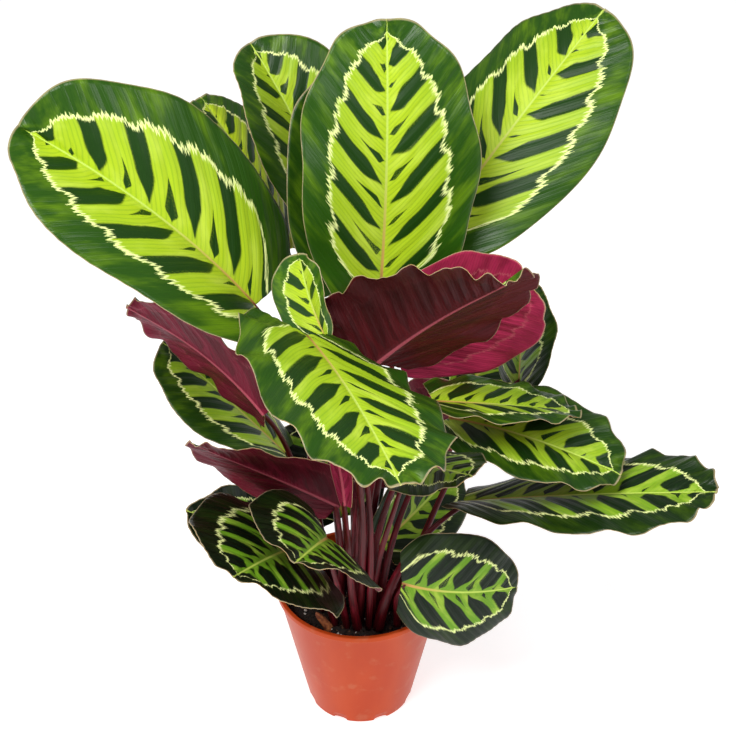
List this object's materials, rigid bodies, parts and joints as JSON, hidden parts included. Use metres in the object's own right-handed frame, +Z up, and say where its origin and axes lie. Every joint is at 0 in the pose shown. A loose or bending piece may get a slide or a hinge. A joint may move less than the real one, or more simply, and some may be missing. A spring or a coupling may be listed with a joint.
{
  "type": "potted calathea plant",
  "caption": "Leafy houseplant with feather-patterned oval leaves on red stalks, some turned to show burgundy undersides, in a plain round nursery pot.",
  "frame": {"origin": "centre of the pot's flat underside", "axes": "+Z up along the pot's axis; -Y is the front of the plant; +X is its right-hand side seen from the front"},
  "size_m": [0.6095, 0.605, 0.699],
  "materials": {
    "pot": "satin moulded terracotta-orange plastic",
    "soil": "loose moist potting soil with pale grit",
    "blade": "waxy leaf: green feather pattern above, burgundy below",
    "stalk": "smooth burgundy-red leaf stalk"
  },
  "bodies": {
    "root": {"pot": "pot", "soil": "soil", "stalk_back_high": "stalk", "stalk_back_left": "stalk", "stalk_back_right": "stalk", "stalk_behind_left": "stalk", "stalk_behind_top": "stalk", "stalk_centre": "stalk", "stalk_centre_turned": "stalk", "stalk_inner_back": "stalk", "stalk_inner_low": "stalk", "stalk_inner_right": "stalk", "stalk_left_large": "stalk", "stalk_left_middle": "stalk", "stalk_left_turned": "stalk", "stalk_low_left": "stalk", "stalk_low_left_behind": "stalk", "stalk_low_left_turned": "stalk", "stalk_low_middle": "stalk", "stalk_low_right": "stalk", "stalk_pink_turned": "stalk", "stalk_right_behind": "stalk", "stalk_right_far": "stalk", "stalk_right_middle": "stalk", "stalk_right_upper": "stalk", "stalk_rolled": "stalk", "stalk_top_left": "stalk", "stalk_top_middle": "stalk", "stalk_top_right": "stalk", "stalk_young": "stalk", "blade_back_high": "blade", "blade_back_left": "blade", "blade_back_right": "blade", "blade_behind_left": "blade", "blade_behind_top": "blade", "blade_centre": "blade", "blade_centre_turned": "blade", "blade_inner_back": "blade", "blade_inner_low": "blade", "blade_inner_right": "blade", "blade_left_large": "blade", "blade_left_middle": "blade", "blade_left_turned": "blade", "blade_low_left": "blade", "blade_low_left_behind": "blade", "blade_low_left_turned": "blade", "blade_low_middle": "blade", "blade_low_right": "blade", "blade_pink_turned": "blade", "blade_right_behind": "blade", "blade_right_far": "blade", "blade_right_middle": "blade", "blade_right_upper": "blade", "blade_rolled": "blade", "blade_top_left": "blade", "blade_top_middle": "blade", "blade_top_right": "blade", "blade_young": "blade"}
  },
  "joints": []
}
